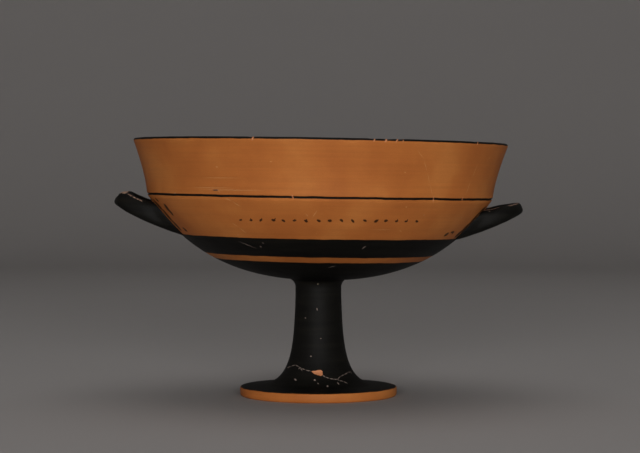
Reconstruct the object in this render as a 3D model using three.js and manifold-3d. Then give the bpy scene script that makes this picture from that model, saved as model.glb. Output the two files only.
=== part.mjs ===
// Attic lip cup: a footed drinking bowl of fired clay, in millimetres, +Z up.
// The origin is the middle of the foot's resting face, and the handles lie along X.
//
// A potter makes such a cup in four pieces and lutes them together before firing:
// a thrown bowl with an offset lip, a thrown stem with its foot, and two rolled handles.
// Each of the four is one mesh here. Joined faces stand `joint` apart.

import * as THREE from "three";
import { mergeVertices } from "three/addons/utils/BufferGeometryUtils.js";
import Module from "manifold-3d";

const wasm = await Module();
wasm.setup();

// ---------------------------------------------------------------- driving dimensions

const height = 142.9; // resting face to rim
const rimRadius = 105;
const shoulderHeight = 111.4; // where the lip is set off from the bowl
const bowlUnderside = 65.2; // bowl's flat underside, on top of the stem
const footRadius = 44.1;
const footEdge = 5.2; // thickness of the foot's plain edge
const joint = 0.3; // slip joint between the bowl and what is luted to it
const bowlLean = THREE.MathUtils.degToRad(0.95); // the bowl sits a little askew, down at +X

const bowl = {
  flatRadius: 12, // level part of the underside
  belly: [new THREE.Vector2(47.4, 67), new THREE.Vector2(75.9, 80.4)], // controls of the outer curve
  shoulderRadius: 96.6,
  floorThickness: 6,
  shoulderThickness: 3.5,
};

const lip = {
  rise: 1.2, // from the shoulder to the foot of the lip
  footRadius: 96.95,
  notch: 0.45, // depth of the groove between shoulder and lip
  waist: new THREE.Vector2(98, 122.9), // control of the lip's hollow curve
  footThickness: 3.2,
  rimThickness: 2.6,
};

const stem = {
  neckRadius: 12.9,
  neckHeight: 57,
  flare: [new THREE.Vector2(13.7, 27), new THREE.Vector2(15.2, 6.9)], // controls down to the foot
  plateRadius: 33, // where the flare has run out on to the foot
  plateHeight: 6.2,
  collarRadius: 17, // top of the stem, where it spreads under the bowl
  collarDrop: 4.2,
};

// Turned out under the foot and up into the stem.
const hollow = { mouthRadius: 16, throatRadius: 11, throatHeight: 2.5, topRadius: 6, depth: 50 };

const handle = {
  spread: 17.6, // half the distance between the two arms
  bendStart: 93, // where the straight arms end
  rootReach: 80, // where the arms' centre lines enter the wall
  buried: 18, // length that runs on inside the wall and is trimmed off
  squareness: 0.7, // 1 gives an oval section and less a squarer one
  roll: THREE.MathUtils.degToRad(1.7), // each loop hangs a little lower at -Y
};

// Each loop was rolled and bent by hand, so the two differ.
const rightHandle = {
  reach: 111.1, // axis of the cup to the middle of the bend
  underside: 91, // height of the arms' lower edge at the wall
  rise: 0.329, // slope of that edge at the wall
  curl: 0.0024, // how much it steepens towards the bend, per mm
  halfWidth: [4.6, 2.8], // of the rolled clay at the root and at the bend
  halfHeight: [5.6, 3.15],
  taper: [84.6, 114.5], // distances from the axis over which it thins
  layBack: 1, // how far the section leans with that slope
};
const leftHandle = {
  reach: 111.9,
  underside: 91.4,
  rise: 0.302,
  curl: 0.0037,
  halfWidth: [4.6, 3.9],
  halfHeight: [4.7, 2.2],
  taper: [108.4, 111.8],
  layBack: 0.4,
};

const mesh = { bowlSides: 64, stemSides: 44, handleSides: 12, handleSteps: 44 };

// ---------------------------------------------------------------- helpers

const at = (r, z) => new THREE.Vector2(r, z);
const mix = THREE.MathUtils.lerp;

// Moves each point of an open outline sideways by distance(share of the way along it).
function offsetOutline(points, distance) {
  return points.map((p, i) => {
    const before = points[Math.max(i - 1, 0)];
    const after = points[Math.min(i + 1, points.length - 1)];
    const along = after.clone().sub(before).normalize();
    const d = distance(i / (points.length - 1));
    return at(Math.max(p.x + along.y * d, 0), p.y - along.x * d);
  });
}

// A profile of (radius, height) points, spun about +Z.
function spin(points, sides) {
  return new THREE.LatheGeometry(points, sides).rotateX(Math.PI / 2);
}

function toSolid(geometry) {
  const bare = geometry.clone();
  bare.deleteAttribute("normal");
  bare.deleteAttribute("uv");
  const merged = mergeVertices(bare, 1e-4);
  return new wasm.Manifold(
    new wasm.Mesh({
      numProp: 3,
      vertProperties: merged.attributes.position.array,
      triVerts: new Uint32Array(merged.index.array),
    }),
  );
}

function toGeometry(solid) {
  const { vertProperties, triVerts } = solid.getMesh();
  const geometry = new THREE.BufferGeometry();
  geometry.setAttribute("position", new THREE.BufferAttribute(vertProperties, 3));
  geometry.setIndex(new THREE.BufferAttribute(triVerts, 1));
  geometry.computeVertexNormals();
  return geometry;
}

// ---------------------------------------------------------------- bowl

// Outside of the bowl from the edge of its flat underside up to the shoulder.
function bellyOutline() {
  return new THREE.CubicBezierCurve(
    at(bowl.flatRadius, bowlUnderside),
    ...bowl.belly,
    at(bowl.shoulderRadius, shoulderHeight),
  ).getPoints(12);
}

// Outside of the lip from its foot up to where the rim starts to round over.
function lipOutline() {
  return new THREE.QuadraticBezierCurve(
    at(lip.footRadius, shoulderHeight + lip.rise),
    lip.waist,
    at(rimRadius, height - lip.rimThickness / 2),
  ).getPoints(5);
}

// The whole outside, underside to rim, with the groove that sets off the lip.
function bowlOutside() {
  const groove = at(bowl.shoulderRadius - lip.notch, shoulderHeight + lip.rise / 2);
  return [at(0, bowlUnderside), ...bellyOutline(), groove, ...lipOutline()];
}

function bowlGeometry() {
  const lipInside = offsetOutline(lipOutline(), (t) => -mix(lip.footThickness, lip.rimThickness, t));
  const bellyInside = offsetOutline(bellyOutline(), (t) => -mix(bowl.floorThickness, bowl.shoulderThickness, t));
  const rimCentre = lipOutline().at(-1).clone().lerp(lipInside.at(-1), 0.5);
  const rim = [0.25, 0.5, 0.75].map((t) =>
    at(
      rimCentre.x + (lip.rimThickness / 2) * Math.cos(Math.PI * t),
      rimCentre.y + (lip.rimThickness / 2) * Math.sin(Math.PI * t),
    ),
  );
  const floor = at(0, bellyInside[0].y);
  return spin(
    [...bowlOutside(), ...rim, ...lipInside.reverse(), ...bellyInside.reverse(), floor],
    mesh.bowlSides,
  );
}

// The bowl's outside grown by the joint and filled in, to trim what is luted to it.
function bowlEnvelope() {
  const grown = offsetOutline(bowlOutside(), () => joint);
  return spin([...grown, at(0, grown.at(-1).y)], mesh.bowlSides);
}

// ---------------------------------------------------------------- stem with foot

function stemGeometry(envelope) {
  const hollowWall = new THREE.QuadraticBezierCurve(
    at(hollow.mouthRadius, 0),
    at(hollow.throatRadius, hollow.throatHeight),
    at(hollow.topRadius, hollow.depth),
  ).getPoints(6);
  const flare = new THREE.CubicBezierCurve(
    at(stem.plateRadius, stem.plateHeight),
    ...stem.flare.toReversed(),
    at(stem.neckRadius, stem.neckHeight),
  ).getPoints(11);
  const collarBase = bowlUnderside - stem.collarDrop;
  const collar = new THREE.QuadraticBezierCurve(
    at(stem.neckRadius, collarBase),
    at(stem.neckRadius + 0.2, bowlUnderside - 0.4),
    at(stem.collarRadius, bowlUnderside + 0.6),
  ).getPoints(3);
  const edge = [
    at(footRadius - 1.1, 0),
    at(footRadius - 0.3, 0.9),
    at(footRadius, footEdge * 0.5),
    at(footRadius - 0.1, footEdge - 0.6),
    at(footRadius - 0.7, footEdge),
  ];
  const cutTop = at(0, bowlUnderside + 3);
  const profile = [
    at(0, hollow.depth + hollow.topRadius * 0.6),
    ...hollowWall.reverse(),
    ...edge,
    ...flare,
    ...collar,
    at(stem.collarRadius, cutTop.y),
    cutTop,
  ];
  return toGeometry(toSolid(spin(profile, mesh.stemSides)).subtract(envelope));
}

// ---------------------------------------------------------------- handles

// Centre line of a handle at +X: two arms joined by a round bend, rising outwards.
// The +Y arm stands higher where `roll` is positive.
function handlePath(loop, roll) {
  const bendLength = loop.reach - handle.bendStart;
  const plan = [at(handle.rootReach - handle.buried, handle.spread), at(handle.rootReach, handle.spread)];
  for (let turn = 0; turn <= 180; turn += 11.25) {
    const a = THREE.MathUtils.degToRad(turn);
    plan.push(at(handle.bendStart + bendLength * Math.sin(a), handle.spread * Math.cos(a)));
  }
  plan.push(...plan.slice(0, 2).toReversed().map((p) => at(p.x, -p.y)));
  return new THREE.CatmullRomCurve3(
    plan.map(({ x, y }) => {
      const out = x - handle.rootReach;
      const lowerEdge = loop.underside + loop.rise * out + loop.curl * out * out;
      const upToCentre = handleSection(loop, x).halfHeight * Math.hypot(1, slopeAt(loop, x));
      return new THREE.Vector3(x, y, lowerEdge + upToCentre + y * Math.tan(roll));
    }),
  );
}

// Slope of a loop's lower edge at a point that lies `x` from the axis of the cup.
function slopeAt(loop, x) {
  return loop.rise + 2 * loop.curl * (x - handle.rootReach);
}

// Size and upward direction of the rolled clay at that point.
function handleSection(loop, x) {
  const thinned = THREE.MathUtils.smoothstep(x, ...loop.taper);
  const lean = Math.atan(slopeAt(loop, x) * loop.layBack);
  return {
    halfWidth: mix(...loop.halfWidth, thinned),
    halfHeight: mix(...loop.halfHeight, thinned),
    upwards: new THREE.Vector3(-Math.sin(lean), 0, Math.cos(lean)),
  };
}

// A rod along a path, closed at both ends, with a section that sectionAt(centre) sizes.
function rod(path, steps, sides, squareness, sectionAt) {
  const squared = (v) => Math.sign(v) * Math.abs(v) ** squareness;
  const positions = [];
  const index = [];
  for (let i = 0; i <= steps; i++) {
    const centre = path.getPointAt(i / steps);
    const along = path.getTangentAt(i / steps);
    const { halfWidth, halfHeight, upwards } = sectionAt(centre);
    const up = upwards.projectOnPlane(along).normalize();
    const aside = up.clone().cross(along);
    for (let j = 0; j < sides; j++) {
      const a = (2 * Math.PI * j) / sides;
      const p = centre
        .clone()
        .addScaledVector(aside, halfWidth * squared(Math.cos(a)))
        .addScaledVector(up, halfHeight * squared(Math.sin(a)));
      positions.push(p.x, p.y, p.z);
    }
  }
  const corner = (i, j) => i * sides + (j % sides);
  for (let i = 0; i < steps; i++) {
    for (let j = 0; j < sides; j++) {
      index.push(corner(i, j), corner(i + 1, j + 1), corner(i + 1, j));
      index.push(corner(i, j), corner(i, j + 1), corner(i + 1, j + 1));
    }
  }
  for (let j = 1; j < sides - 1; j++) {
    index.push(corner(0, 0), corner(0, j + 1), corner(0, j));
    index.push(corner(steps, 0), corner(steps, j), corner(steps, j + 1));
  }
  const geometry = new THREE.BufferGeometry();
  geometry.setAttribute("position", new THREE.Float32BufferAttribute(positions, 3));
  geometry.setIndex(index);
  return geometry;
}

function handleGeometry(loop, turn, envelope) {
  const path = handlePath(loop, handle.roll * Math.cos(turn));
  const sectionAt = (centre) => handleSection(loop, centre.x);
  const shape = rod(path, mesh.handleSteps, mesh.handleSides, handle.squareness, sectionAt);
  return toGeometry(toSolid(shape.rotateZ(turn)).subtract(envelope));
}

// ---------------------------------------------------------------- the cup

const clay = new THREE.MeshStandardMaterial({ color: "#b5703a", roughness: 0.55, metalness: 0 });
const blackGloss = new THREE.MeshStandardMaterial({ color: "#171513", roughness: 0.3, metalness: 0 });

function piece(name, geometry, material) {
  const made = new THREE.Mesh(geometry, material);
  made.name = name;
  return made;
}

// Turns about the top of the stem, where the bowl was set down.
const leaning = new THREE.Group();
leaning.position.z = bowlUnderside;
leaning.rotation.y = bowlLean;
const upright = new THREE.Group();
upright.position.z = -bowlUnderside;
leaning.add(upright);
leaning.updateMatrixWorld(true);

const envelope = toSolid(bowlEnvelope());
const leaningEnvelope = toSolid(bowlEnvelope().applyMatrix4(upright.matrixWorld));

upright.add(piece("bowl", bowlGeometry(), clay));
upright.add(piece("right_handle", handleGeometry(rightHandle, 0, envelope), blackGloss));
upright.add(piece("left_handle", handleGeometry(leftHandle, Math.PI, envelope), blackGloss));

const kylix = new THREE.Group();
kylix.add(leaning);
kylix.add(piece("stem_and_foot", stemGeometry(leaningEnvelope), blackGloss));

export default kylix;
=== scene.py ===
import math
import random

import bmesh
import bpy
from mathutils import Euler, Matrix, Vector, noise
from mathutils.geometry import interpolate_bezier


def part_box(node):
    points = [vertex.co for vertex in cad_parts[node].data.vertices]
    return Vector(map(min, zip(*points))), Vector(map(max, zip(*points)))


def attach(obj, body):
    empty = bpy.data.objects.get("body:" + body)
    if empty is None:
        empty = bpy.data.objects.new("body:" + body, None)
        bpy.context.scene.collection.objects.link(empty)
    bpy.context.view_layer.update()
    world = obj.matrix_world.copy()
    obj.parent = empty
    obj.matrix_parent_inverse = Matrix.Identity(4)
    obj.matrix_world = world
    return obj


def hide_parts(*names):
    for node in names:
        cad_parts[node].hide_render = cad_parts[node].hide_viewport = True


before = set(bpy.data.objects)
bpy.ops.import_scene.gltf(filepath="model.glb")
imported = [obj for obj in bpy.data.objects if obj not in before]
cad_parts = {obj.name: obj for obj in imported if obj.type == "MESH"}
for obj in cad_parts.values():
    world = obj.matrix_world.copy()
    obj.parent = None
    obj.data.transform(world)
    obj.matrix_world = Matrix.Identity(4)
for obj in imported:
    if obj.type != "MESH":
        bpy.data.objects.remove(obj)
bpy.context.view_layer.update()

mm = 0.001
bowlLow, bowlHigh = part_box("bowl")
footLow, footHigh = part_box("stem_and_foot")
rimRadius = (bowlHigh.y - bowlLow.y) / 2 / mm
footRadius = (footHigh.x - footLow.x) / 2 / mm


# camera: first, because everything is judged through it

cameraPlan = {
    "lens": 112.5,
    "sensor": 36,
    "distance": 1125,  # from the middle of the stem
    "height": 120.5,  # above the surface the cup stands on
    "aside": 0.9,  # to the right of the stem
    "tiltDown": 1.3,
}


def makeCamera(plan):
    data = bpy.data.cameras.new("camera")
    data.lens = plan["lens"]
    data.sensor_width = plan["sensor"]
    data.clip_start = 0.05
    camera = bpy.data.objects.new("camera", data)
    camera.location = Vector((plan["aside"], -plan["distance"], plan["height"])) * mm
    camera.rotation_euler = Euler((math.radians(90 - plan["tiltDown"]), 0, 0))
    bpy.context.scene.collection.objects.link(camera)
    bpy.context.scene.camera = camera


makeCamera(cameraPlan)
print("camera ready")


# small helpers


def colour(hexCode):  # sRGB hex to the linear colour that sockets want
    channels = [int(hexCode[i : i + 2], 16) / 255 for i in (1, 3, 5)]
    return [c / 12.92 if c <= 0.04045 else ((c + 0.055) / 1.055) ** 2.4 for c in channels] + [1]


def mix(a, b, share):
    return a + (b - a) * share


def smoothStep(low, high, value):
    t = min(max((value - low) / (high - low), 0), 1)
    return t * t * (3 - 2 * t)


def curvePoints(start, handleA, handleB, end, count):  # cubic curve in (radius, height)
    corners = [Vector((r, z, 0)) for r, z in (start, handleA, handleB, end)]
    return [(p.x, p.y) for p in interpolate_bezier(*corners, count)]


def bendPoints(start, corner, end, count):  # leaves and arrives towards one corner
    pull = lambda point: tuple(mix(p, c, 2 / 3) for p, c in zip(point, corner))
    return curvePoints(start, pull(start), pull(end), end, count)


def offsetPoints(points, thickness):  # an outline moved inwards by thickness(share of the way)
    moved = []
    for i, (r, z) in enumerate(points):
        before, after = points[max(i - 1, 0)], points[min(i + 1, len(points) - 1)]
        along = Vector((after[0] - before[0], after[1] - before[1])).normalized()
        d = thickness(i / (len(points) - 1))
        moved.append((max(r - along.y * d, 0), z + along.x * d))
    return moved


def radiusAt(outline, height):  # of a rising outline
    for (r0, z0), (r1, z1) in zip(outline, outline[1:]):
        if z1 >= height and z1 > z0:
            return mix(r0, r1, max((height - z0) / (z1 - z0), 0))
    return outline[-1][0]


def spinOutline(outline, sides):  # outline: (radius, height, 1 on the inner side) from axis to axis
    bm = bmesh.new()
    inside = bm.verts.layers.float.new("inside")
    verts = []
    for r, z, innerSide in outline:
        vert = bm.verts.new((0, -r, z))
        vert[inside] = innerSide
        verts.append(vert)
    for a, b in zip(verts, verts[1:]):
        bm.edges.new((a, b))
    bmesh.ops.spin(
        bm, geom=bm.verts[:] + bm.edges[:], cent=(0, 0, 0), axis=(0, 0, 1), dvec=(0, 0, 0),
        angle=2 * math.pi, steps=sides, use_merge=True, use_duplicate=False,
    )
    bmesh.ops.remove_doubles(bm, verts=bm.verts, dist=1e-4)
    bmesh.ops.recalc_face_normals(bm, faces=bm.faces)
    return bm


def finishPiece(name, bm, materials, turn=Matrix.Identity(4)):  # millimetres to metres, smooth faces
    bmesh.ops.transform(bm, matrix=Matrix.Scale(mm, 4) @ turn, verts=bm.verts)
    for face in bm.faces:
        face.smooth = True
    mesh = bpy.data.meshes.new(name)
    bm.to_mesh(mesh)
    bm.free()
    for material in materials:
        mesh.materials.append(material)
    piece = bpy.data.objects.new(name, mesh)
    bpy.context.scene.collection.objects.link(piece)
    return piece


def around(co):  # degrees from the front towards +X
    return math.degrees(math.atan2(co.x, -co.y))


# how the bowl sits on its stem: a little askew, down at +X

seat = {"height": 65.2, "lean": 0.95}


def leanMatrix():
    top = Vector((0, 0, seat["height"]))
    turn = Matrix.Rotation(math.radians(seat["lean"]), 4, "Y")
    return Matrix.Translation(top) @ turn @ Matrix.Translation(-top)


# outlines of the two thrown pieces

bowl = {
    "sides": 440,
    "flat": 12,  # level part of the underside
    "bellyHandles": ((47.4, 67), (75.9, 80.4)),
    "shoulder": (96.6, 111.4),
    "floorThickness": 6,
    "shoulderThickness": 3.5,
    "groove": (96.15, 112),  # middle of the line that sets off the lip
    # (out, up) from the shoulder, from the groove twice and from the lip's foot, to soften the line
    "grooveSteps": ((-0.1, 0.25), (0, -0.15), (0, 0.1), (-0.25, -0.1)),
    "lipFoot": (96.95, 112.6),
    "lipWaist": (98, 122.9),
    "lipTop": (rimRadius - 0.2, 141.35),
    "lipFootThickness": 3.2,
    "rimThickness": 2.6,
    "rimRound": 1.05,  # height of the rounding
    "outOfRound": 0.14,
    "outOfRoundBy": 130,  # height at which it is fully out of round
    "ovalPhase": 0.7,  # radians, as the next
    "threeSidedPhase": 2.1,
    "threeSidedShare": 0.5,
    "wheelLine": (0.035, 1.3),  # depth of the turning tool's lines, and how many to a millimetre
    "fingerLine": (0.14, 0.16),  # the same for the lines left by the fingers inside
    "rimZone": 140.8,  # height from which the rim is worn
    "rimRipple": (0.08, 0.12),  # the same for its top
    "rimWear": (  # nicks: (turn, width, depth)
        (-20, 1.6, 0.2), (15, 2.2, 0.2), (19.5, 2.4, 0.3), (23, 1.8, 0.2), (52, 1.5, 0.2),
    ),
}

stem = {
    "sides": 320,
    "neck": 12.9,
    "neckHeight": 57,
    "flareHandles": ((15.2, 6.9), (13.7, 27)),
    "plate": (33, 6.2),  # where the flare has run out on to the foot
    "footRound": (  # edge of the foot, from the floor up: (distance in from its widest, height)
        (1.1, 0), (0.7, 0.15), (0.35, 0.5), (0.12, 1), (0, 1.8), (0, 2.6), (0, 3.6),
        (0.04, 4.3), (0.14, 4.8), (0.35, 5.08), (0.7, 5.2),
    ),
    "collarFoot": 61,
    "collarCorner": (0.2, 64.8),  # (distance out from the neck, height)
    "collar": (17.2, 66.1),  # buried in the bowl's underside
    "hollowMouth": 16,
    "hollowThroat": (11, 2.5),
    "hollowTop": (6, 50),
    "hollowDome": 0.6,  # its rise over the top's radius
    "wheelLine": (0.03, 1.1),  # depth, and how many to a millimetre
    "unevenness": (0.06, 0.06),  # the same for the potter's hand
    "plainBelow": (12, 6),  # no unevenness inside this radius or below this height
    "chip": ((-12, 15.1), (3, 15.8), (6.7, 15.4), (6.8, 13.1), (4.2, 12.7), (-6.4, 13.7)),
    "chipDepth": 0.6,
    "chipZone": (23, 11, 18),  # the chip lies within this turn and between these heights
}


def bellyOutline():
    return curvePoints((bowl["flat"], seat["height"]), *bowl["bellyHandles"], bowl["shoulder"], 46)


def lipOutline():
    return bendPoints(bowl["lipFoot"], bowl["lipWaist"], bowl["lipTop"], 34)


def bowlOutside():
    groove = [bowl["shoulder"], bowl["groove"], bowl["groove"], bowl["lipFoot"]]
    rounded = [(r + out, z + up) for (r, z), (out, up) in zip(groove, bowl["grooveSteps"])]
    return bellyOutline() + rounded + lipOutline()


def flareOutline():
    flare = curvePoints(stem["plate"], *stem["flareHandles"], (stem["neck"], stem["neckHeight"]), 92)
    straight = range(stem["neckHeight"] + 1, stem["collarFoot"])
    return flare + [(stem["neck"], z) for z in straight]


# materials: what each one is, and how it is laid


def addNode(material, kind, links=None, **settings):  # one node, its settings, and what feeds it
    node = material.node_tree.nodes.new(kind)
    for name, value in settings.items():
        setattr(node, name, value)
    for socket, value in (links or {}).items():
        if isinstance(value, bpy.types.NodeSocket):
            material.node_tree.links.new(value, node.inputs[socket])
        else:
            node.inputs[socket].default_value = value
    return node


# Fired Attic clay: levigated, iron-rich, burnished and washed with ochre before firing.
# Gives a warm orange with a satin skin, faint wheel lines and cloudy patches from the kiln.
clay = {
    "colours": ("#ab632f", "#b36a33", "#bc743a"),
    "colourSpots": (0.34, 0.5, 0.66),
    "roughness": (0.48, 0.62),
    "cloud": 30,  # width of a kiln cloud
    "streak": 1.3,  # spacing of the wheel's fine lines
    "streakStretch": (0.025, 0.025, 1),  # drawn out round the piece
    "grain": 0.5,
    "shade": (0.9, 1.1),  # what lines and grain do to the colour
    "relief": 0.012,
}

# Attic black gloss: a film of fine illitic slip, sintered black in a reducing fire.
# Gives a deep soft-shining black, a little olive where the brush left it thin.
slip = {
    "colours": ("#0e0d0b", "#13120f", "#1d1811"),
    "colourSpots": (0.4, 0.6, 0.85),
    "roughness": (0.55, 0.68),
    "roughPatch": 6,
    "roughStretch": (0.4, 0.4, 1),
    "shine": 0.1,  # weathering has dulled it
    "brush": 2.4,  # spacing of brush lines
    "brushStretch": (0.06, 0.06, 1),
    "film": 0.04,  # thickness on the clay
    "edge": 0.13,  # how far a brushed edge fades
    "waver": 0.35,  # how far it strays from a true circle
    "waverLength": 9,
    "tremble": 0.9,  # how many shakes of the hand to a millimetre, in thin marks
    "thinLayer": 0.88,  # how well strokes and dark marks cover
}

# What two and a half thousand years did to both.
wear = {
    "scratchOnClay": "#c68f5b",
    "scratchOnSlip": "#8d7d74",
    "bareClay": "#c4825a",
    "speck": "#b7a88e",
    "speckSpacing": 7,
    "speckSize": 0.06,  # the largest, as a share of the spacing
    "clearShare": 0.55,  # of the places where a speck could be
    "speckCover": 0.6,
    "scratchCover": 0.8,
    "scratchDepth": 0.05,
    "ragged": 1.1,  # width of a notch in a worn edge
}


def uprightPlace(material, leaning):  # millimetres, with the piece's own axis upright
    turn = Matrix.Rotation(-math.radians(seat["lean"] if leaning else 0), 3, "Y")
    top = Vector((0, 0, seat["height"]))
    place = addNode(material, "ShaderNodeMapping", {
        "Vector": addNode(material, "ShaderNodeTexCoord").outputs["Object"],
        "Location": top - turn @ top,
        "Rotation": turn.to_euler(),
        "Scale": (1 / mm, 1 / mm, 1 / mm),
    }).outputs[0]
    axes = addNode(material, "ShaderNodeSeparateXYZ", {0: place}).outputs
    flat = addNode(material, "ShaderNodeCombineXYZ", {0: axes[0], 1: axes[1]}).outputs[0]
    radius = addNode(material, "ShaderNodeVectorMath", {0: flat}, operation="LENGTH").outputs["Value"]
    return {"place": place, "x": axes[0], "y": axes[1], "height": axes[2], "radius": radius}


def unroll(material, coords, bothSides=False):  # (distance round from the front, height)
    x, y = coords["x"], coords["y"]
    if bothSides:  # the back repeats the front
        side = addNode(material, "ShaderNodeMath", {0: y}, operation="SIGN").outputs[0]
        x = addNode(material, "ShaderNodeMath", {0: x, 1: side}, operation="MULTIPLY").outputs[0]
        x = addNode(material, "ShaderNodeMath", {0: x, 1: -1}, operation="MULTIPLY").outputs[0]
        back = addNode(material, "ShaderNodeMath", {0: y}, operation="ABSOLUTE").outputs[0]
    else:
        back = addNode(material, "ShaderNodeMath", {0: y, 1: -1}, operation="MULTIPLY").outputs[0]
    angle = addNode(material, "ShaderNodeMath", {0: x, 1: back}, operation="ARCTAN2").outputs[0]
    arc = addNode(material, "ShaderNodeMath", {0: angle, 1: coords["radius"]},
                  operation="MULTIPLY").outputs[0]
    return addNode(material, "ShaderNodeCombineXYZ", {0: arc, 1: coords["height"]}).outputs[0]


def blotches(material, place, width, stretch=(1, 1, 1), detail=2):  # 0 to 1, each about `width` wide
    scaled = addNode(material, "ShaderNodeVectorMath", {0: place, 1: Vector(stretch) / width},
                     operation="MULTIPLY")
    return addNode(material, "ShaderNodeTexNoise", {
        "Vector": scaled.outputs[0], "Scale": 1, "Detail": detail,
    }).outputs["Fac"]


def brushedBands(material, place, across, bands):  # 1 on slip: (low, high) along `across`
    stray = blotches(material, place, slip["waverLength"], detail=4)
    centred = addNode(material, "ShaderNodeMath", {0: stray, 1: 0.5}, operation="SUBTRACT").outputs[0]
    edge = addNode(material, "ShaderNodeMath", {0: centred, 1: slip["waver"] * 2, 2: across},
                   operation="MULTIPLY_ADD").outputs[0]
    fade, laid = slip["edge"], None
    for low, high in bands:
        over = addNode(material, "ShaderNodeMapRange", {
            "Value": edge, "From Min": low - fade, "From Max": low + fade}).outputs[0]
        under = addNode(material, "ShaderNodeMapRange", {
            "Value": edge, "From Min": high + fade, "From Max": high - fade}).outputs[0]
        band = addNode(material, "ShaderNodeMath", {0: over, 1: under}, operation="MULTIPLY").outputs[0]
        laid = band if laid is None else addNode(
            material, "ShaderNodeMath", {0: laid, 1: band}, operation="MAXIMUM").outputs[0]
    return laid


# marks are (start, end, width), each end a (turn, height), and `jitter` is how far the hand shook
def strokes(material, unrolled, marks, outline, jitter, sharp=0.5):  # 1 on each tapering mark
    shake = addNode(material, "ShaderNodeTexNoise", {
        "Vector": unrolled, "Scale": slip["tremble"], "Detail": 3}).outputs["Color"]
    centred = addNode(material, "ShaderNodeVectorMath", {0: shake, 1: (0.5, 0.5, 0.5)},
                      operation="SUBTRACT").outputs[0]
    shaken = addNode(material, "ShaderNodeVectorMath", {
        0: centred, 1: (jitter * 2, jitter * 2, 0), 2: unrolled,
    }, operation="MULTIPLY_ADD").outputs[0]
    nearest = None
    for start, end, width in marks:
        a, b = (Vector((math.radians(turn) * radiusAt(outline, z), z, 0)) for turn, z in (start, end))
        along = b - a
        local = addNode(material, "ShaderNodeMapping", {
            "Vector": shaken, "Location": (a + b) / 2,
            "Rotation": (0, 0, math.atan2(along.y, along.x)),
            "Scale": ((along.length + width) / 2, width / 2, 1),
        }, vector_type="TEXTURE").outputs[0]
        reach = addNode(material, "ShaderNodeTexGradient", {"Vector": local},
                        gradient_type="SPHERICAL").outputs["Fac"]
        nearest = reach if nearest is None else addNode(
            material, "ShaderNodeMath", {0: nearest, 1: reach}, operation="MAXIMUM").outputs[0]
    return addNode(material, "ShaderNodeMapRange", {"Value": nearest, "From Max": 1 - sharp}).outputs[0]


def pathMarks(points, width):  # a crack: marks from point to point
    return [(a, b, width) for a, b in zip(points, points[1:])]


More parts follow.
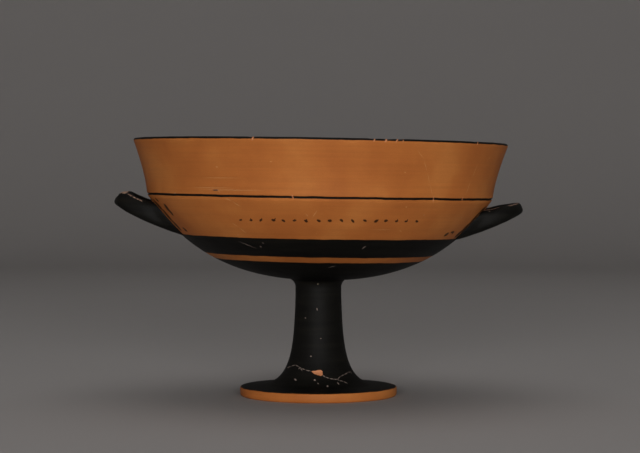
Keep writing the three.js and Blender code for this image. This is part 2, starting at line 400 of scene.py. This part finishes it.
def atticSurface(material, place, laid, bare=None, scratched=None):  # clay, with slip where `laid` is 1
    clouds = blotches(material, place, clay["cloud"], detail=3)
    clayTone = addNode(material, "ShaderNodeValToRGB", {0: clouds})
    brushLines = blotches(material, place, slip["brush"], slip["brushStretch"], detail=4)
    slipTone = addNode(material, "ShaderNodeValToRGB", {0: brushLines})
    for tone, layer in ((clayTone, clay), (slipTone, slip)):
        stops = tone.color_ramp.elements
        stops.new(0.5)
        for stop, hexCode, spot in zip(stops, layer["colours"], layer["colourSpots"]):
            stop.position, stop.color = spot, colour(hexCode)
    streak = blotches(material, place, clay["streak"], clay["streakStretch"], detail=3)
    grain = blotches(material, place, clay["grain"], detail=3)
    texture = addNode(material, "ShaderNodeMath", {0: streak, 1: grain}, operation="ADD").outputs[0]
    shade = addNode(material, "ShaderNodeMapRange", {
        "Value": texture, "From Min": 0.6, "From Max": 1.4,
        "To Min": clay["shade"][0], "To Max": clay["shade"][1]}).outputs[0]
    shaded = addNode(material, "ShaderNodeVectorMath", {0: clayTone.outputs[0], 1: shade},
                     operation="MULTIPLY").outputs[0]

    if bare is not None:
        kept = addNode(material, "ShaderNodeMath", {0: 1, 1: bare}, operation="SUBTRACT").outputs[0]
        laid = addNode(material, "ShaderNodeMath", {0: laid, 1: kept}, operation="MULTIPLY").outputs[0]
        shaded = addNode(material, "ShaderNodeMix", {0: bare, 6: shaded, 7: colour(wear["bareClay"])},
                         data_type="RGBA").outputs[2]
    finish = addNode(material, "ShaderNodeMix", {0: laid, 6: shaded, 7: slipTone.outputs[0]},
                     data_type="RGBA").outputs[2]
    if scratched is not None:
        raw = addNode(material, "ShaderNodeMix", {
            0: laid, 6: colour(wear["scratchOnClay"]), 7: colour(wear["scratchOnSlip"]),
        }, data_type="RGBA").outputs[2]
        finish = addNode(material, "ShaderNodeMix", {0: scratched, 6: finish, 7: raw},
                         data_type="RGBA").outputs[2]

    specks = addNode(material, "ShaderNodeTexVoronoi", {
        "Vector": place, "Scale": 1 / wear["speckSpacing"], "Randomness": 1})
    pick = addNode(material, "ShaderNodeSeparateColor", {0: specks.outputs["Color"]}).outputs[0]
    size = addNode(material, "ShaderNodeMapRange", {
        "Value": pick, "From Min": wear["clearShare"], "From Max": 1, "To Max": wear["speckSize"],
    }).outputs[0]
    spot = addNode(material, "ShaderNodeMath", {0: specks.outputs["Distance"], 1: size},
                   operation="LESS_THAN").outputs[0]
    faint = addNode(material, "ShaderNodeMath", {0: spot, 1: wear["speckCover"]},
                    operation="MULTIPLY").outputs[0]
    finish = addNode(material, "ShaderNodeMix", {0: faint, 6: finish, 7: colour(wear["speck"])},
                     data_type="RGBA").outputs[2]

    clayRough = addNode(material, "ShaderNodeMapRange", {
        "Value": streak, "To Min": clay["roughness"][0], "To Max": clay["roughness"][1]}).outputs[0]
    slipRough = addNode(material, "ShaderNodeMapRange", {
        "Value": blotches(material, place, slip["roughPatch"], slip["roughStretch"], detail=4),
        "To Min": slip["roughness"][0], "To Max": slip["roughness"][1]}).outputs[0]
    rough = addNode(material, "ShaderNodeMix", {0: laid, 2: clayRough, 3: slipRough}).outputs[0]

    relief = addNode(material, "ShaderNodeMath", {0: texture, 1: clay["relief"]},
                     operation="MULTIPLY").outputs[0]
    relief = addNode(material, "ShaderNodeMath", {0: laid, 1: slip["film"], 2: relief},
                     operation="MULTIPLY_ADD").outputs[0]
    if scratched is not None:
        relief = addNode(material, "ShaderNodeMath", {0: scratched, 1: -wear["scratchDepth"], 2: relief},
                         operation="MULTIPLY_ADD").outputs[0]
    bump = addNode(material, "ShaderNodeBump", {"Strength": 1, "Distance": mm, "Height": relief})
    shader = addNode(material, "ShaderNodeBsdfPrincipled", {
        "Base Color": finish, "Roughness": rough, "Normal": bump.outputs[0],
        "IOR": 1.5, "Specular IOR Level": slip["shine"]})
    addNode(material, "ShaderNodeOutputMaterial", {"Surface": shader.outputs[0]})


def newMaterial(name):
    material = bpy.data.materials.new(name)
    material.use_nodes = True
    material.node_tree.nodes.clear()
    return material


# the bowl: orange outside with bands of slip, black inside with a reserved disc

bowlPaint = {
    "outside": ((0, 76.85), (79.85, 90), (111.4, 112.65), (141.7, 200)),  # heights, the last past the rim
    "inside": ((2.2, 3.4), (5.6, 6.6), (16.8, 17.9), (20.5, 137.6), (138.7, 200)),
    "floorEdge": 60,  # inside this radius a band is told by its radius, and beyond it by its height
    "strokeRow": {
        "from": -28, "step": 3.96, "count": 17, "height": 99.6, "climb": 0.05,
        "turnSway": 0.35, "heightSway": 0.25,
        "lean": (0.3, 0.4),  # half of what a stroke spans round the cup, in degrees, and up it
        "width": (1.25, 1.65),
        "tailShare": 0.5,  # of the strokes, which have a thin tail
        "tail": (0.9, 0.9, 0.7),  # how far round its tip may lie, how far up it does, and its width
    },
    "darkMarks": (
        ((-35.1, 114.9), (-33, 115), 0.8),
        ((-65.2, 106), (-64.3, 103), 3.2),
        ((-64.3, 103), (-63.7, 101), 2.2),
        ((-70.6, 109.6), (-69, 108), 1.6),
        ((-64.9, 93.7), (-63.7, 92.1), 1.9),
        ((57.4, 92.2), (58.9, 93.3), 2.0),
        ((60.2, 93.9), (62.6, 94.1), 1.3),
        ((62.6, 94.1), (62.8, 92.9), 1.2),
        # round the handles' roots, where the brush ran over
        *pathMarks(((77.5, 107.2), (73.6, 104.4), (72.4, 98), (71.6, 94), (70.4, 91.5)), 3.8),
        *pathMarks(((-75.4, 108.5), (-71.5, 103.5), (-70.5, 97), (-69.8, 92.8)), 3.2),
    ),
    "lineBreaks": (
        ((-8.5, 113.2), (-8.1, 111.2), 0.9),
        ((38, 113.4), (38.3, 110.6), 0.9),
        ((51.9, 113.4), (51.7, 111.4), 0.9),
        ((-19.6, 141), (-19.2, 143.4), 1.1),
        ((15, 141), (15.4, 143), 0.7),
        ((18.4, 141.2), (18.9, 143), 1.2),
        ((21.6, 141), (22.4, 143.2), 1.0),
        ((23.8, 141.2), (24, 142.6), 0.7),
        ((52.4, 140.8), (53, 143.4), 0.9),
    ),
    "scratches": (
        *pathMarks(((-31, 111), (-28.6, 109.2), (-26, 106.4)), 0.5),
        *pathMarks(((-32.4, 97.7), (-30.3, 95.6), (-28.2, 92)), 0.5),
        *pathMarks(((56.2, 131), (54.9, 123), (53, 113.5)), 0.45),
        *pathMarks(((28.8, 137.6), (31.8, 133), (34, 126), (35.8, 120), (37.6, 113.6)), 0.35),
        ((-40, 121.2), (-24, 121.5), 0.4),
        ((-45, 116), (-26, 116.2), 0.5),
        ((-42, 115), (-15, 115.2), 0.45),
        ((-33.4, 115.6), (-32.4, 113.6), 0.45),
        ((18, 95.5), (28, 95.6), 0.35),
        ((30.4, 95.3), (31.6, 94.6), 0.4),
        ((-0.7, 105.4), (-2.3, 101.8), 0.6),
        ((-4.4, 103.6), (-3.8, 101.8), 0.45),
        ((-35, 88), (-27.5, 84), 0.4),
        ((-25.5, 85.5), (-25, 85), 0.7),
        ((-23.5, 87.5), (-23, 87.2), 0.6),
        ((19.6, 86.6), (18.4, 85), 0.8),
        ((9.5, 75.3), (5.5, 74.2), 0.5),
        ((62.7, 134.4), (63.1, 134.4), 0.8),
        ((69.3, 130.2), (69.7, 130.2), 0.7),
        ((28.5, 107.7), (28.9, 107.7), 0.8),
        ((26, 125.8), (26.4, 125.8), 0.8),
        ((-14.8, 130), (-14.3, 130.1), 0.8),
        ((-32.8, 127), (-32.3, 126.8), 0.9),
    ),
}


def strokeRow(row):  # short strokes that spell nothing
    pick = random.Random(7)
    marks = []
    (leanRound, leanUp), (tailRound, tailUp, tailWidth) = row["lean"], row["tail"]
    for i in range(row["count"]):
        turn = row["from"] + i * row["step"] + pick.uniform(-row["turnSway"], row["turnSway"])
        height = row["height"] + i * row["climb"] + pick.uniform(-row["heightSway"], row["heightSway"])
        up = leanUp * pick.uniform(-1, 1)
        start, end = (turn - leanRound, height - up), (turn + leanRound, height + up)
        marks.append((start, end, pick.uniform(*row["width"])))
        if pick.random() < row["tailShare"]:
            tip = (turn + tailRound * pick.random(), height + tailUp)
            marks.append(((turn + leanRound, height), tip, tailWidth))
    return marks


def outsideMaterial():
    material = newMaterial("firedAtticClayWithBlackGloss")
    coords = uprightPlace(material, leaning=True)
    laid = brushedBands(material, coords["place"], coords["height"], bowlPaint["outside"])
    front, bothSides = unroll(material, coords), unroll(material, coords, bothSides=True)
    outline = bowlOutside()
    row = strokes(material, bothSides, strokeRow(bowlPaint["strokeRow"]), outline, jitter=0.35, sharp=0.7)
    dark = strokes(material, front, bowlPaint["darkMarks"], outline, jitter=0.3, sharp=0.7)
    for marks in (row, dark):
        more = addNode(material, "ShaderNodeMath", {0: marks, 1: slip["thinLayer"]},
                       operation="MULTIPLY").outputs[0]
        laid = addNode(material, "ShaderNodeMath", {0: laid, 1: more}, operation="MAXIMUM").outputs[0]
    bare = strokes(material, front, bowlPaint["lineBreaks"], outline, jitter=0.5)
    scratched = strokes(material, front, bowlPaint["scratches"], outline, jitter=0.35, sharp=0.2)
    faint = addNode(material, "ShaderNodeMath", {0: scratched, 1: wear["scratchCover"]},
                    operation="MULTIPLY").outputs[0]
    atticSurface(material, coords["place"], laid, bare, faint)
    return material


def insideMaterial():
    material = newMaterial("blackGlossInsideTheBowl")
    coords = uprightPlace(material, leaning=True)
    onFloor = addNode(material, "ShaderNodeMath", {0: coords["radius"], 1: bowlPaint["floorEdge"]},
                      operation="LESS_THAN").outputs[0]
    across = addNode(material, "ShaderNodeMix", {
        0: onFloor, 2: coords["height"], 3: coords["radius"]}).outputs[0]
    laid = brushedBands(material, coords["place"], across, bowlPaint["inside"])
    atticSurface(material, coords["place"], laid)
    return material


def makeBowl():
    outside = bowlOutside()
    lip, belly = lipOutline(), bellyOutline()
    lipInside = offsetPoints(lip, lambda t: mix(bowl["lipFootThickness"], bowl["rimThickness"], t))
    bellyInside = offsetPoints(belly, lambda t: mix(bowl["floorThickness"], bowl["shoulderThickness"], t))
    (ro, zo), (ri, zi), half = lip[-1], lipInside[-1], bowl["rimThickness"] / 2
    middle, level = (ro + ri) / 2, (zo + zi) / 2
    turns = [math.pi * step / 8 for step in range(1, 8)]
    rim = [(middle + half * math.cos(t), level + bowl["rimRound"] * math.sin(t)) for t in turns]
    outline = [(0, seat["height"], 0)] + [(r, z, 0) for r, z in outside + rim[:4]]
    outline += [(r, z, 1) for r, z in rim[4:] + lipInside[::-1] + bellyInside[::-1]]
    outline.append((0, bellyInside[0][1], 1))
    bm = spinOutline(outline, bowl["sides"])
    (wheelDepth, wheelRate), (fingerDepth, fingerRate) = bowl["wheelLine"], bowl["fingerLine"]
    ripple, rippleRate = bowl["rimRipple"]
    inside = bm.verts.layers.float["inside"]
    for vert in bm.verts:
        r = math.hypot(vert.co.x, vert.co.y)
        if r < 1e-3:
            continue
        turn, z = around(vert.co), vert.co.z
        lift = smoothStep(seat["height"], bowl["outOfRoundBy"], z)
        a = math.radians(turn)
        oval = math.sin(2 * a + bowl["ovalPhase"])
        threeSided = bowl["threeSidedShare"] * math.sin(3 * a + bowl["threeSidedPhase"])
        swell = bowl["outOfRound"] * lift * (oval + threeSided)
        swell += wheelDepth * noise.noise((0, 3, z * wheelRate))
        if vert[inside] > 0.5:
            swell += fingerDepth * noise.noise((0, 9, (z + r) * fingerRate))
        vert.co.x *= 1 + swell / r
        vert.co.y *= 1 + swell / r
        if z > bowl["rimZone"]:
            for place, width, depth in bowl["rimWear"]:
                off = math.radians(turn - place) * r / width
                vert.co.z -= depth * math.exp(-off * off)
            vert.co.z += ripple * noise.noise((vert.co.x * rippleRate, vert.co.y * rippleRate, 4))
    for face in bm.faces:
        face.material_index = 1 if sum(v[inside] for v in face.verts) / len(face.verts) > 0.5 else 0
    piece = finishPiece("glazedBowl", bm, [outsideMaterial(), insideMaterial()], leanMatrix())
    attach(piece, "root")
    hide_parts("bowl")


makeBowl()
print("bowl ready")


# the stem and foot: black, with the foot's edge and resting face left in clay

stemPaint = {
    "outside": ((5.05, 200),),  # from the top of the foot's edge up, in the hollow too
    "cracks": (
        *pathMarks((
            (-75, 15.6), (-58, 17.1), (-47, 18), (-38, 17.3), (-30.4, 16.2), (-23.6, 15.9), (-12, 15),
        ), 0.5),
        *pathMarks(((6.5, 12.9), (10.8, 12.1), (16.6, 11.3), (22.6, 10.9), (28.5, 10.8)), 0.55),
        *pathMarks(((28.5, 10.8), (37.4, 12.3), (44.6, 12.8), (57.5, 13.8), (68, 13.8), (66, 12.7)), 0.45),
        *pathMarks(((28.5, 10.8), (30.8, 10.2), (36.4, 9.5), (41, 8.4)), 0.45),
        ((-33.5, 16.6), (-29, 15.2), 0.6),
        ((-37, 16.1), (-35, 16.5), 0.6),
    ),
    "specks": (
        ((-37, 10.6), (-33, 10.2), 0.9),
        ((-5.6, 10.5), (-4.8, 10.5), 1.1),
        ((-1.4, 9.1), (0.6, 8.7), 0.5),
        ((10.4, 7.5), (11.2, 7.5), 0.9),
        ((26.4, 9.1), (26.8, 8.3), 0.7),
        ((-15.4, 23.2), (-14.6, 23.2), 0.8),
        ((-4, 49.8), (-2.6, 48.6), 0.6),
        ((-33.4, 44.2), (-32, 44.2), 0.7),
        ((5.1, 33), (5.9, 33), 0.6),
    ),
}


def stemMaterial():
    material = newMaterial("blackGlossOnTheStem")
    coords = uprightPlace(material, leaning=False)
    laid = brushedBands(material, coords["place"], coords["height"], stemPaint["outside"])
    front = unroll(material, coords)
    chip = addNode(material, "ShaderNodeAttribute", attribute_name="bare").outputs["Fac"]
    notches = blotches(material, coords["place"], wear["ragged"], detail=3)
    ragged = addNode(material, "ShaderNodeMath", {0: notches, 1: 0.3, 2: chip},
                     operation="MULTIPLY_ADD").outputs[0]
    bare = addNode(material, "ShaderNodeMapRange", {
        "Value": ragged, "From Min": 0.55, "From Max": 0.7}).outputs[0]
    cracks = strokes(material, front, stemPaint["cracks"], flareOutline(), jitter=0.35, sharp=0.2)
    specks = strokes(material, front, stemPaint["specks"], flareOutline(), jitter=0.3)
    scratched = addNode(material, "ShaderNodeMath", {0: cracks, 1: specks}, operation="MAXIMUM").outputs[0]
    atticSurface(material, coords["place"], laid, bare, scratched)
    return material


def insideShape(point, corners):  # how deep a point lies inside a shape whose corners run clockwise
    sides = zip(corners, corners[1:] + corners[:1])
    return min((point - a).cross((b - a).normalized()) for a, b in sides)


def makeStem():
    top, throat, mouth = stem["hollowTop"], stem["hollowThroat"], (stem["hollowMouth"], 0)
    hollow = bendPoints(top, throat, mouth, 26)
    foot = [(footRadius - back, z) for back, z in stem["footRound"]]
    between = lambda a, b, t: (mix(a[0], b[0], t), mix(a[1], b[1], t))
    rest = [between(mouth, foot[0], t) for t in (0.02, 0.3, 0.6, 0.9)]
    plate = [between(foot[-1], stem["plate"], t) for t in (0.1, 0.3, 0.5, 0.7, 0.85)]
    flare, (cornerOut, cornerHeight) = flareOutline(), stem["collarCorner"]
    collar = bendPoints((stem["neck"], stem["collarFoot"]), (stem["neck"] + cornerOut, cornerHeight),
                        stem["collar"], 12)
    outline = [(0, top[1] + top[0] * stem["hollowDome"], 1)] + [(r, z, 1) for r, z in hollow]
    outline += [(r, z, 0) for r, z in rest + foot + plate + flare + collar]
    outline.append((0, stem["collar"][1], 0))
    bm = spinOutline(outline, stem["sides"])
    bare = bm.verts.layers.float.new("bare")
    corners = [Vector((math.radians(turn) * radiusAt(flare, z), z)) for turn, z in stem["chip"]]
    (wheelDepth, wheelRate), (wobble, wobbleRate) = stem["wheelLine"], stem["unevenness"]
    plainRadius, plainHeight = stem["plainBelow"]
    chipTurn, chipLow, chipHigh = stem["chipZone"]
    for vert in bm.verts:
        r, z = math.hypot(vert.co.x, vert.co.y), vert.co.z
        if r < plainRadius or z < plainHeight:
            continue
        turn = math.atan2(vert.co.x, -vert.co.y)
        swell = wheelDepth * noise.noise((0, 3, z * wheelRate)) + wobble * noise.noise(vert.co * wobbleRate)
        if abs(turn) < math.radians(chipTurn) and chipLow < z < chipHigh:
            depth = insideShape(Vector((turn * r, z)), corners)
            vert[bare] = smoothStep(-0.25, 0.2, depth)
            swell -= stem["chipDepth"] * smoothStep(-0.1, 0.6, depth)
        vert.co.x *= 1 + swell / r
        vert.co.y *= 1 + swell / r
    piece = finishPiece("stemAndFoot", bm, [stemMaterial()])
    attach(piece, "root")
    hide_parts("stem_and_foot")


makeStem()
print("stem and foot ready")


# the handles: rolled, bent to a horseshoe and luted on with slip

handle = {
    "sides": 44,
    "steps": 150,
    "spread": 17.6,  # half the width between the arms' middles
    "bendStart": 93,
    "arms": 66,  # where the arms' straight lines begin, far inside the bowl
    "bendLength": 54,
    "rootReach": 80,
    "squareness": 0.7,
    "farSideUp": 0.3,  # degrees, towards +Y
    "buried": 1.4,  # how far the ends run into the bowl's wall
    "fillet": (6, 1.5),  # how near the wall it swells, and by how much
    "unevenness": (0.24, 0.16),  # depth, and how many bumps to a millimetre
    "sink": 0.2,  # share of that depth which the whole surface lies lower
    "wornDown": 0.3,  # and what wear takes off more
    "wearFade": (0.5, 0.8),  # how far a worn stretch fades, outside its ends and inside them
}

# wear: (from, to, turn round the rod, spread of that, strength), with 90 on top and 180 outside
rightLoop = {
    "node": "right_handle",
    "turn": 0,
    "reach": 110.7,
    "underside": 90.5,  # height of the lower edge at rootReach
    "rise": 0.32,
    "curl": 0.003,
    "halfWidth": (4.6, 2.9),  # root, tip
    "halfHeight": (4.8, 3),
    "taper": (96.7, 116),
    "layBack": 0.8,
    "wear": ((91, 101, 84, 22, 1.35), (104, 111.5, 122, 34, 0.76), (94.5, 95.8, 122, 10, 0.9)),
}

leftLoop = {
    "node": "left_handle",
    "turn": 180,
    "reach": 111.8,
    "underside": 90.7,
    "rise": 0.327,
    "curl": 0.0029,
    "halfWidth": (4.6, 3.3),
    "halfHeight": (5.1, 2.8),
    "taper": (107.7, 112.4),
    "layBack": 1,
    "wear": ((98.5, 107, 126, 11, 1), (107, 113.5, 126, 30, 1.4), (90, 93, 160, 10, 0.5)),
}


def loopMeasures(loop, x):  # half width, half height and slope of the rod at a distance from the cup's axis
    share = smoothStep(*loop["taper"], x)
    slope = loop["rise"] + 2 * loop["curl"] * (x - handle["rootReach"])
    return mix(*loop["halfWidth"], share), mix(*loop["halfHeight"], share), slope


def rootSwell(angle):  # the top and sides swell into the wall, and the underside runs straight in
    return handle["fillet"][1] * smoothStep(-1, 0.5, math.sin(angle))


def loopCentre(loop, share):  # middle line at +X, from the arm at +Y round to the arm at -Y
    arm, bend = handle["bendStart"] - handle["arms"], handle["bendLength"]
    along = share * (2 * arm + bend)
    turn = min(max((along - arm) / bend, 0), 1) * math.pi
    x = handle["bendStart"] + (loop["reach"] - handle["bendStart"]) * math.sin(turn)
    x -= max(arm - along, 0) + max(along - arm - bend, 0)
    y = handle["spread"] * math.cos(turn)
    out = x - handle["rootReach"]
    height, slope = loopMeasures(loop, x)[1:]
    tilt = math.tan(math.radians(handle["farSideUp"])) * (-1 if loop["turn"] else 1)
    z = loop["underside"] + loop["rise"] * out + loop["curl"] * out * out
    return Vector((x, y, z + height * math.hypot(1, slope) + y * tilt))


def loopPoint(loop, share, angle, swell=0):  # on the rod's skin, with angle 90 degrees on top
    centre = loopCentre(loop, share)
    along = loopCentre(loop, min(share + 0.002, 1)) - loopCentre(loop, max(share - 0.002, 0))
    along.normalize()
    width, height, slope = loopMeasures(loop, centre.x)
    lean = math.atan(slope * loop["layBack"])
    up = Vector((-math.sin(lean), 0, math.cos(lean)))
    up = (up - along * up.dot(along)).normalized()
    squared = lambda v: math.copysign(abs(v) ** handle["squareness"], v)
    return (centre + along.cross(up) * squared(math.cos(angle)) * (width + swell)
            + up * squared(math.sin(angle)) * (height + swell))


def depthInBowl(co, outside):  # below the bowl's outer skin
    r, z = math.hypot(co.x, co.y), co.z
    slope = (radiusAt(outside, z + 1) - radiusAt(outside, z - 1)) / 2
    return (radiusAt(outside, z) - r) / math.hypot(1, slope)


def whereBuried(loop, angle, outside, low, high):  # share at which this line is deep enough in the wall
    for halving in range(18):
        middle = (low + high) / 2
        deep = depthInBowl(loopPoint(loop, middle, angle, rootSwell(angle)), outside) > handle["buried"]
        low, high = (middle, high) if deep else (low, middle)
    return low


def makeHandle(name, loop):
    bm = bmesh.new()
    bmesh.ops.create_cone(bm, segments=handle["sides"], radius1=1, radius2=1, depth=1, cap_ends=True)
    lengthwise = [e for e in bm.edges if abs(e.verts[0].co.z - e.verts[1].co.z) > 0.5]
    bmesh.ops.subdivide_edges(bm, edges=lengthwise, cuts=handle["steps"], use_grid_fill=True)
    worn = bm.verts.layers.float.new("worn")
    outside, ends = bowlOutside(), {}
    reach, (fadeOut, fadeIn) = handle["fillet"][0], handle["wearFade"]
    for vert in bm.verts:
        angle, share = math.atan2(vert.co.y, vert.co.x), vert.co.z + 0.5
        key = round(math.degrees(angle))
        if key not in ends:
            ends[key] = [whereBuried(loop, angle, outside, *limits) for limits in ((0, 0.4), (1, 0.6))]
        at = mix(*ends[key], share)
        out = -depthInBowl(loopPoint(loop, at, angle), outside)
        vert.co = loopPoint(loop, at, angle, rootSwell(angle) * (1 - smoothStep(0, reach, out)) ** 2)
        x = loopCentre(loop, at).x
        for start, end, turn, spread, strength in loop["wear"]:
            off = (math.degrees(angle) - turn + 180) % 360 - 180
            begun = smoothStep(start - fadeOut, start + fadeIn, x)
            along = begun * (1 - smoothStep(end - fadeIn, end + fadeOut, x))
            vert[worn] = max(vert[worn], strength * along * math.exp(-((off / spread) ** 2)))
    bmesh.ops.recalc_face_normals(bm, faces=bm.faces)
    bm.normal_update()
    depth, rate = handle["unevenness"]
    for vert in bm.verts:
        bump = noise.noise(vert.co * rate + Vector((loop["turn"], 0, 0))) - handle["wornDown"] * vert[worn]
        vert.co += vert.normal * depth * (bump - handle["sink"])
    turn = Matrix.Rotation(math.radians(loop["turn"]), 4, "Z")
    piece = finishPiece(name, bm, [handleMaterial], leanMatrix() @ turn)
    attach(piece, "root")
    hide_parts(loop["node"])


def makeHandleMaterial():
    material = newMaterial("blackGlossOnTheHandles")
    coords = uprightPlace(material, leaning=True)
    worn = addNode(material, "ShaderNodeAttribute", attribute_name="worn").outputs["Fac"]
    patchy = blotches(material, coords["place"], wear["ragged"], detail=4)
    ragged = addNode(material, "ShaderNodeMath", {0: worn, 1: patchy}, operation="MULTIPLY").outputs[0]
    rubbed = addNode(material, "ShaderNodeMapRange", {
        "Value": ragged, "From Min": 0.3, "From Max": 0.48}).outputs[0]
    laid = addNode(material, "ShaderNodeMath", {0: rubbed, 1: -0.25, 2: 1},
                   operation="MULTIPLY_ADD").outputs[0]
    atticSurface(material, coords["place"], laid, scratched=rubbed)
    return material


handleMaterial = makeHandleMaterial()
makeHandle("rightHandle", rightLoop)
makeHandle("leftHandle", leftLoop)
print("handles ready")


# floor and light: a pale round sweep and soft boxes, all in metres

studio = {
    "sweep": (1.7, 0.8, 3.2),  # radius of the level part, of the bend, height of the wall
    "floor": "#a29e9c",
    "mottle": 0.25,  # width of the paper's faint blotches
    "world": 0.08,
    "worldTint": (1, 0.98, 0.96, 1),
    "aim": (0, 0, 0.09),  # what the boxes look at
    "boxes": (  # (name, width, height, watts, place)
        ("key", 1.7, 0.6, 47.5, (0.02, -2.2, 0.36)),
        ("top", 1.6, 1.6, 7, (0, 0.2, 1.9)),
    ),
}


def makeFloor():
    material = newMaterial("mattPaperSweep")
    place = addNode(material, "ShaderNodeTexCoord").outputs["Object"]
    tone = addNode(material, "ShaderNodeMapRange", {
        "Value": blotches(material, place, studio["mottle"]), "To Min": 0.98, "To Max": 1.02}).outputs[0]
    paper = addNode(material, "ShaderNodeVectorMath", {0: colour(studio["floor"])[:3], 1: tone},
                    operation="MULTIPLY").outputs[0]
    shader = addNode(material, "ShaderNodeBsdfPrincipled", {"Base Color": paper, "Roughness": 0.9})
    addNode(material, "ShaderNodeOutputMaterial", {"Surface": shader.outputs[0]})
    flat, bend, wall = studio["sweep"]
    turns = [math.pi / 2 * step / 12 for step in range(13)]
    cove = [(flat + bend * math.sin(t), bend * (1 - math.cos(t)), 0) for t in turns]
    bm = spinOutline([(0, 0, 0)] + cove + [(flat + bend, wall, 0)], 96)
    bmesh.ops.scale(bm, vec=(1 / mm, 1 / mm, 1 / mm), verts=bm.verts)
    finishPiece("floor", bm, [material])


def makeLights():
    world = bpy.data.worlds.new("studio")
    world.use_nodes = True
    background = world.node_tree.nodes["Background"].inputs
    background["Color"].default_value = studio["worldTint"]
    background["Strength"].default_value = studio["world"]
    bpy.context.scene.world = world
    for name, width, height, watts, place in studio["boxes"]:
        data = bpy.data.lights.new(name, "AREA")
        data.shape, data.size, data.size_y, data.energy = "RECTANGLE", width, height, watts
        box = bpy.data.objects.new(name, data)
        box.location = place
        aim = Vector(studio["aim"]) - box.location
        box.rotation_euler = aim.to_track_quat("-Z", "Y").to_euler()
        bpy.context.scene.collection.objects.link(box)
    bpy.context.scene.view_settings.view_transform = "Standard"


makeFloor()
makeLights()
print("floor and light ready")
